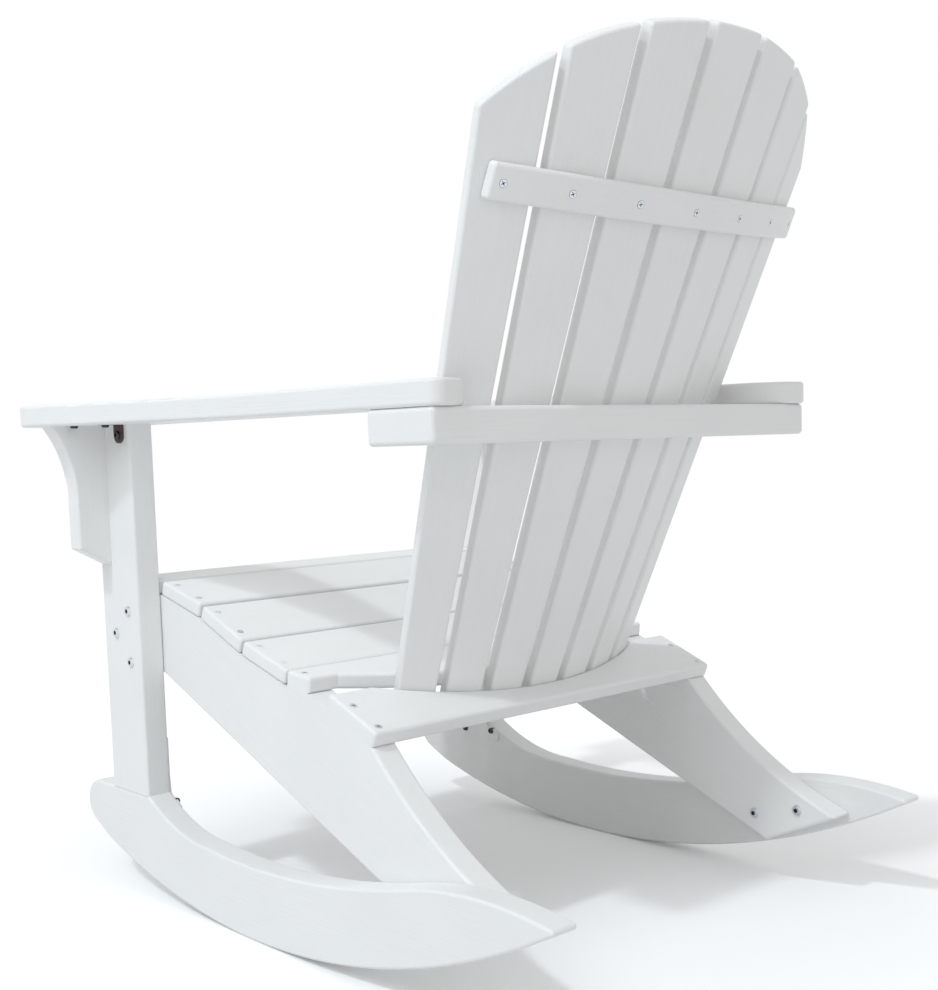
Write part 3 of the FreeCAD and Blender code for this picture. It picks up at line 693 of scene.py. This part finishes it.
def build_fan_tree():
    tree, given = new_tree("back_fan", {**FAN, "Plastic": WHITE})
    box = add_node(tree, "GeometryNodeMeshCube", Vertices_X=13, Vertices_Y=2, Vertices_Z=2)
    line = add_node(tree, "GeometryNodeMeshLine", Count=given["Boards"], Offset=(0, 0, 0))
    boards = add_node(tree, "GeometryNodeInstanceOnPoints", Points=line.outputs[0], Instance=box.outputs[0])
    number = add_node(tree, "GeometryNodeInputIndex")
    numbered = add_node(
        tree, "GeometryNodeStoreNamedAttribute", {"data_type": "INT", "domain": "INSTANCE"},
        Geometry=boards.outputs[0], Name="board", Value=number.outputs[0],
    )
    real = add_node(tree, "GeometryNodeRealizeInstances", Geometry=numbered.outputs[0])
    board = add_node(tree, "GeometryNodeInputNamedAttribute", {"data_type": "INT"}, Name="board")
    step = Figure(tree, board.outputs[0]) - (given["Boards"] - 1) / 2
    split = add_node(tree, "ShaderNodeSeparateXYZ", Vector=add_node(tree, "GeometryNodeInputPosition").outputs[0])
    share, depth, height = (Figure(tree, socket) for socket in split.outputs)
    share = share * 2
    frame_of_board = board_frame(given, step)
    foot, upward, sideways, outward = frame_of_board
    rise = (height + 0.5) * sawn_length(given, frame_of_board, share)
    point = plus(foot, times(upward, rise))
    point = plus(point, times(sideways, share * half_width(given, frame_of_board, rise)))
    point = plus(point, times(outward, (depth - 0.5) * given["Thickness"]))
    place = add_node(
        tree, "ShaderNodeCombineXYZ",
        X=point[0] * 0.001, Y=(point[1] + LEG_FRONT_Y) * 0.001, Z=point[2] * 0.001,
    )
    moved = add_node(tree, "GeometryNodeSetPosition", Geometry=real.outputs[0], Position=place.outputs[0])
    kept = add_node(
        tree, "GeometryNodeStoreNamedAttribute", {"data_type": "INT", "domain": "FACE"},
        Geometry=moved.outputs[0], Name="board", Value=board.outputs[0],
    )
    smooth = add_node(tree, "GeometryNodeSetShadeSmooth", Geometry=kept.outputs[0])
    finished = add_node(tree, "GeometryNodeSetMaterial", Geometry=smooth.outputs[0], Material=given["Plastic"])
    end_tree(tree, finished.outputs[0])
    return tree


fan_tree = build_fan_tree()
print("nodes in the fan tree:", len(fan_tree.nodes))

# %% Grow the fan


def to_metres(point):
    return Vector((point[0], point[1] + LEG_FRONT_Y, point[2])) / 1000


def mark_places(piece, boards):
    """Give every point its place on its own board, so that the grain follows that board."""
    mesh = piece.data
    numbers = [0] * len(mesh.vertices)
    if "board" in mesh.attributes:
        for polygon, entry in zip(mesh.polygons, mesh.attributes["board"].data):
            for corner in polygon.vertices:
                numbers[corner] = entry.value
    place = mesh.attributes.new("board_place", "FLOAT_VECTOR", "POINT")
    for vertex, number in zip(mesh.vertices, numbers):
        start, along, across, through = boards[number]
        gap = vertex.co - start
        place.data[vertex.index].vector = (gap.dot(along) + 2.3 * number, gap.dot(across), gap.dot(through))


ROUNDOVER = 0.004
back_fan = grow(
    "back_fan", fan_tree, {**FAN, "Plastic": WHITE}, finish_with=lambda fan: round_edges(fan, ROUNDOVER)
)
fan_places = [(to_metres(foot), Vector(up), Vector(side), Vector(out)) for foot, up, side, out in frames]
mark_places(back_fan, fan_places)
stand_for(back_fan, *[f"back_slat_{number + 1}" for number in range(FAN["Boards"])])

# %% [markdown]
# ## The seat slats
# Four slats of one size lie across the rails, each tilted to its own stretch of the rails' top edge.
# A tree puts a box on each of four points, turned by the slope that the point carries.

# %% Build the slat tree
SEAT_STRETCHES = [
    ((-3.0, 377.5), (85.0, 377.5)),
    ((86.5, 377.5), (173.5, 354.5)),
    ((173.5, 354.5), (259.5, 318.1)),
    ((259.5, 318.1), (348.0, 291.7)),
]
SEAT_SLAT = {"Length": 0.552, "Width": 0.088, "Thickness": 0.0182}


def points_mesh(name, places, attribute, values):
    """Loose points for a tree. Each carries one value of its own."""
    mesh = bpy.data.meshes.new(name + "_points")
    mesh.from_pydata(places, [], [])
    is_vector = isinstance(values[0], Vector)
    layer = mesh.attributes.new(attribute, "FLOAT_VECTOR" if is_vector else "FLOAT", "POINT")
    for entry, value in zip(layer.data, values):
        if is_vector:
            entry.vector = value
        else:
            entry.value = value
    return mesh


def build_slat_tree():
    tree, given = new_tree("seat_slats", {**SEAT_SLAT, "Plastic": WHITE}, has_points=True)
    size = add_node(tree, "ShaderNodeCombineXYZ", X=given["Length"], Y=given["Width"], Z=given["Thickness"])
    box = add_node(tree, "GeometryNodeMeshCube", Size=size.outputs[0])
    slope = add_node(tree, "GeometryNodeInputNamedAttribute", {"data_type": "FLOAT"}, Name="slope")
    turn = add_node(tree, "ShaderNodeCombineXYZ", X=slope.outputs[0])
    slats = add_node(
        tree, "GeometryNodeInstanceOnPoints",
        Points=given["Points"], Instance=box.outputs[0], Rotation=turn.outputs[0],
    )
    number = add_node(tree, "GeometryNodeInputIndex")
    numbered = add_node(
        tree, "GeometryNodeStoreNamedAttribute", {"data_type": "INT", "domain": "INSTANCE"},
        Geometry=slats.outputs[0], Name="board", Value=number.outputs[0],
    )
    real = add_node(tree, "GeometryNodeRealizeInstances", Geometry=numbered.outputs[0])
    board = add_node(tree, "GeometryNodeInputNamedAttribute", {"data_type": "INT"}, Name="board")
    kept = add_node(
        tree, "GeometryNodeStoreNamedAttribute", {"data_type": "INT", "domain": "FACE"},
        Geometry=real.outputs[0], Name="board", Value=board.outputs[0],
    )
    smooth = add_node(tree, "GeometryNodeSetShadeSmooth", Geometry=kept.outputs[0])
    finished = add_node(tree, "GeometryNodeSetMaterial", Geometry=smooth.outputs[0], Material=given["Plastic"])
    end_tree(tree, finished.outputs[0])
    return tree


# %% Grow the seat slats
slat_middles, slat_slopes, slat_places = [], [], []
for near, far in SEAT_STRETCHES:
    along = Vector((0, far[0] - near[0], far[1] - near[1])).normalized()
    upright = Vector((1, 0, 0)).cross(along)
    middle = (to_metres((0, *near)) + to_metres((0, *far))) / 2 + upright * SEAT_SLAT["Thickness"] / 2
    slat_middles.append(middle)
    slat_slopes.append(math.atan2(along.z, along.y))
    slat_places.append((middle, Vector((1, 0, 0)), along, upright))

seat_slats = grow(
    "seat_slats", build_slat_tree(), {**SEAT_SLAT, "Plastic": WHITE},
    points=points_mesh("seat_slats", slat_middles, "slope", slat_slopes),
    finish_with=lambda slats: round_edges(slats, ROUNDOVER),
)
mark_places(seat_slats, slat_places)
stand_for(seat_slats, *[f"seat_slat_{number + 1}" for number in range(len(SEAT_STRETCHES))])

# %% [markdown]
# ## Screws and bolts
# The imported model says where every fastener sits. Each one is found as a separate island of its mesh: its
# long axis gives the aim, and the wider end is the head. One tree then sets a finer head on each point.
# A sunk head is a cone with a cross in it, and a round head stands on the board with a hexagon socket.

# %% Find the fasteners
MERGE_DISTANCE = 0.00001
END_DEPTH = 0.0012
HEAD_DEPTH = 0.0035


def islands(node):
    """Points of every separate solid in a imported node."""
    shape = bmesh.new()
    shape.from_mesh(node.data)
    shape.transform(node.matrix_world)
    bmesh.ops.remove_doubles(shape, verts=shape.verts, dist=MERGE_DISTANCE)
    seen = set()
    groups = []
    for first in shape.verts:
        if first in seen:
            continue
        seen.add(first)
        queue = [first]
        for vertex in queue:
            for edge in vertex.link_edges:
                other = edge.other_vert(vertex)
                if other not in seen:
                    seen.add(other)
                    queue.append(other)
        groups.append([vertex.co.copy() for vertex in queue])
    shape.free()
    return groups


def middle_of(points):
    return sum(points, Vector()) / len(points)


def head_of(points):
    """Middle of the head's top, the direction that it faces, and the fastener's whole length."""
    one = max(points, key=lambda point: (point - points[0]).length)
    other = max(points, key=lambda point: (point - one).length)
    for _ in range(3):
        axis = (one - other).normalized()
        reach = [point.dot(axis) for point in points]
        one = middle_of([point for point, far in zip(points, reach) if far > max(reach) - END_DEPTH])
        other = middle_of([point for point, far in zip(points, reach) if far < min(reach) + END_DEPTH])
    axis = (one - other).normalized()

    def width_near(end):
        gaps = [point - end for point in points if abs((point - end).dot(axis)) < HEAD_DEPTH]
        return max((gap - axis * gap.dot(axis)).length for gap in gaps)

    if width_near(other) > width_near(one):
        one, other, axis = other, one, -axis
    top = max(point.dot(axis) for point in points)
    low = min(point.dot(axis) for point in points)
    return one + axis * (top - one.dot(axis)), axis, top - low


seat_heads = [head_of(group) for group in islands(cad["seat_slat_screws"])]
print("screws in the seat slats:", len(seat_heads), "of", round(seat_heads[0][2] * 1000), "mm")

# %% Build the fastener tree
HEAD_SIDES = 28
SHANK_SIDES = 20
BAR_WIDTH_SHARE = 0.36
SHANK_SHARE = 0.80
SHANK_MIDDLE = 0.52


def build_fastener_tree(name, sides, sizes):
    """A head and a shank on every point, turned to the point's aim. The recess has its own dark finish, a painted
    shade for the shade inside it.
    """
    tree, given = new_tree(name, sizes, has_points=True)
    deep = given["Head height"]
    cone = add_node(
        tree, "GeometryNodeMeshCone", Vertices=HEAD_SIDES,
        Radius_Top=given["Top radius"], Radius_Bottom=given["Low radius"], Depth=deep,
    )
    drop = add_node(tree, "ShaderNodeCombineXYZ", Z=deep * -1)
    head = add_node(tree, "GeometryNodeTransform", Geometry=cone.outputs[0], Translation=drop.outputs[0])
    head = add_node(tree, "GeometryNodeSetMaterial", Geometry=head.outputs[0], Material=given["Metal"])
    cut = add_node(tree, "GeometryNodeMeshBoolean", {"operation": "DIFFERENCE", "solver": "EXACT"})
    tree.links.new(head.outputs[0], cut.inputs["Mesh 1"])
    for quarter in range(1 if sides else 2):
        if sides:
            tool = add_node(
                tree, "GeometryNodeMeshCylinder", Vertices=sides,
                Radius=given["Recess size"], Depth=given["Recess depth"] * 2,
            )
        else:
            bar = add_node(
                tree, "ShaderNodeCombineXYZ",
                X=given["Recess size"] * 2, Y=given["Recess size"] * BAR_WIDTH_SHARE, Z=given["Recess depth"] * 2,
            )
            tool = add_node(tree, "GeometryNodeMeshCube", Size=bar.outputs[0])
        turned = add_node(
            tree, "GeometryNodeTransform", Geometry=tool.outputs[0], Rotation=(0, 0, quarter * math.pi / 2)
        )
        # The cut faces of the recess get the dark recess finish, which paints the shade inside the drive.
        dark = add_node(tree, "GeometryNodeSetMaterial", Geometry=turned.outputs[0], Material=given["Recess"])
        tree.links.new(dark.outputs[0], cut.inputs["Mesh 2"])
    shank = add_node(
        tree, "GeometryNodeMeshCylinder", Vertices=SHANK_SIDES, Radius=given["Shank radius"], Depth=SHANK_SHARE
    )
    shank = add_node(
        tree, "GeometryNodeTransform", Geometry=shank.outputs[0], Translation=(0, 0, -SHANK_MIDDLE)
    )
    shank = add_node(tree, "GeometryNodeSetMaterial", Geometry=shank.outputs[0], Material=given["Metal"])
    aim = add_node(tree, "GeometryNodeInputNamedAttribute", {"data_type": "FLOAT_VECTOR"}, Name="aim")
    long = add_node(tree, "ShaderNodeVectorMath", {"operation": "LENGTH"})
    tree.links.new(aim.outputs[0], long.inputs[0])
    turn = add_node(tree, "FunctionNodeAlignRotationToVector", {"axis": "Z"}, Vector=aim.outputs[0])
    stretch = add_node(tree, "ShaderNodeCombineXYZ", X=1.0, Y=1.0, Z=long.outputs["Value"])
    heads = add_node(
        tree, "GeometryNodeInstanceOnPoints",
        Points=given["Points"], Instance=cut.outputs[0], Rotation=turn.outputs[0],
    )
    shanks = add_node(
        tree, "GeometryNodeInstanceOnPoints", Points=given["Points"], Instance=shank.outputs[0],
        Rotation=turn.outputs[0], Scale=stretch.outputs[0],
    )
    both = add_node(tree, "GeometryNodeJoinGeometry")
    tree.links.new(heads.outputs[0], both.inputs[0])
    tree.links.new(shanks.outputs[0], both.inputs[0])
    real = add_node(tree, "GeometryNodeRealizeInstances", Geometry=both.outputs[0])
    end_tree(tree, real.outputs[0])
    return tree


# %% Grow the fasteners
SUNK_SCREW = {
    "Top radius": 0.0037,
    "Low radius": 0.0022,
    "Head height": 0.0026,
    "Shank radius": 0.0022,
    "Recess size": 0.0023,
    "Recess depth": 0.0016,
}
LEG_BOLT = {
    "Top radius": 0.0052,
    "Low radius": 0.0065,
    "Head height": 0.0030,
    "Shank radius": 0.0040,
    "Recess size": 0.0030,
    "Recess depth": 0.0022,
}
SMALL_BOLT = {**LEG_BOLT, "Top radius": 0.0036, "Low radius": 0.0045, "Recess size": 0.0021}
FASTENERS = {
    "seat_slat_screws": (SUNK_SCREW, STEEL, "steel"),
    "rear_brace_screws": (SUNK_SCREW, STEEL, "steel"),
    "upper_brace_screws": (SUNK_SCREW, STEEL, "steel"),
    "back_slat_screws": (SUNK_SCREW, STEEL, "steel"),
    "leg_bolts": (LEG_BOLT, STEEL, "steel"),
    "rail_bolts": (LEG_BOLT, STEEL, "steel"),
    "cleat_bolts": (SMALL_BOLT, DARK_BOLT, "dark_bolt"),
}
materials = {"Metal": STEEL, "Recess": RECESS_PAINTED_SHADE}
sunk_tree = build_fastener_tree("sunk_screw", 0, {**SUNK_SCREW, **materials})
bolt_tree = build_fastener_tree("socket_bolt", 6, {**LEG_BOLT, **materials})

for name, (sizes, finish, slot_name) in FASTENERS.items():
    found = [head_of(group) for group in islands(cad[name])]
    piece = grow(
        "fine_" + name, sunk_tree if sizes is SUNK_SCREW else bolt_tree,
        {**sizes, "Metal": finish, "Recess": RECESS_PAINTED_SHADE},
        points=points_mesh(name, [head for head, _, _ in found], "aim", [axis * long for _, axis, long in found]),
    )
    stand_for(piece, name, slot=slot_name)
